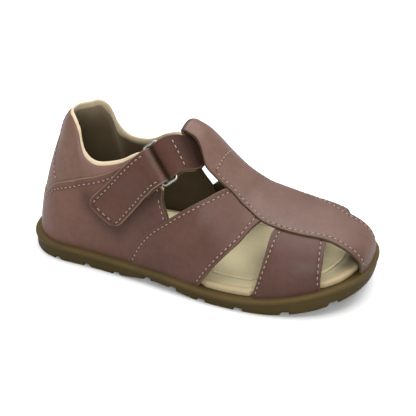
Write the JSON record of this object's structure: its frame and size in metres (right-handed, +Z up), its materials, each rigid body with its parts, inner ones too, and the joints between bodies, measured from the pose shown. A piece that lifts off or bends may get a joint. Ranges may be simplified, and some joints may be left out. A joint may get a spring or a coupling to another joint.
{
  "type": "sandal",
  "caption": "Child's closed-toe leather T-bar sandal for the right foot: straps over a footbed, hook-and-loop strap through a wire ring, bead-edged rubber sole.",
  "frame": {"origin": "on the floor under the middle of the sole's plan box", "axes": "+X towards the toe, +Y towards the inner (medial) side, +Z up"},
  "size_m": [0.17, 0.0764, 0.0713],
  "materials": {
    "rubber": "matt",
    "footbed": "matt",
    "leather": "satin",
    "leather_dark": "matt",
    "tab_leather": "satin",
    "strap_leather": "satin",
    "steel": "polished"
  },
  "bodies": {
    "root": {"outsole": "rubber", "insole": "footbed", "upper": "leather", "bar_loop": "leather_dark", "ring_tab": "tab_leather", "closure_strap": "strap_leather", "ring": "steel"}
  },
  "joints": []
}
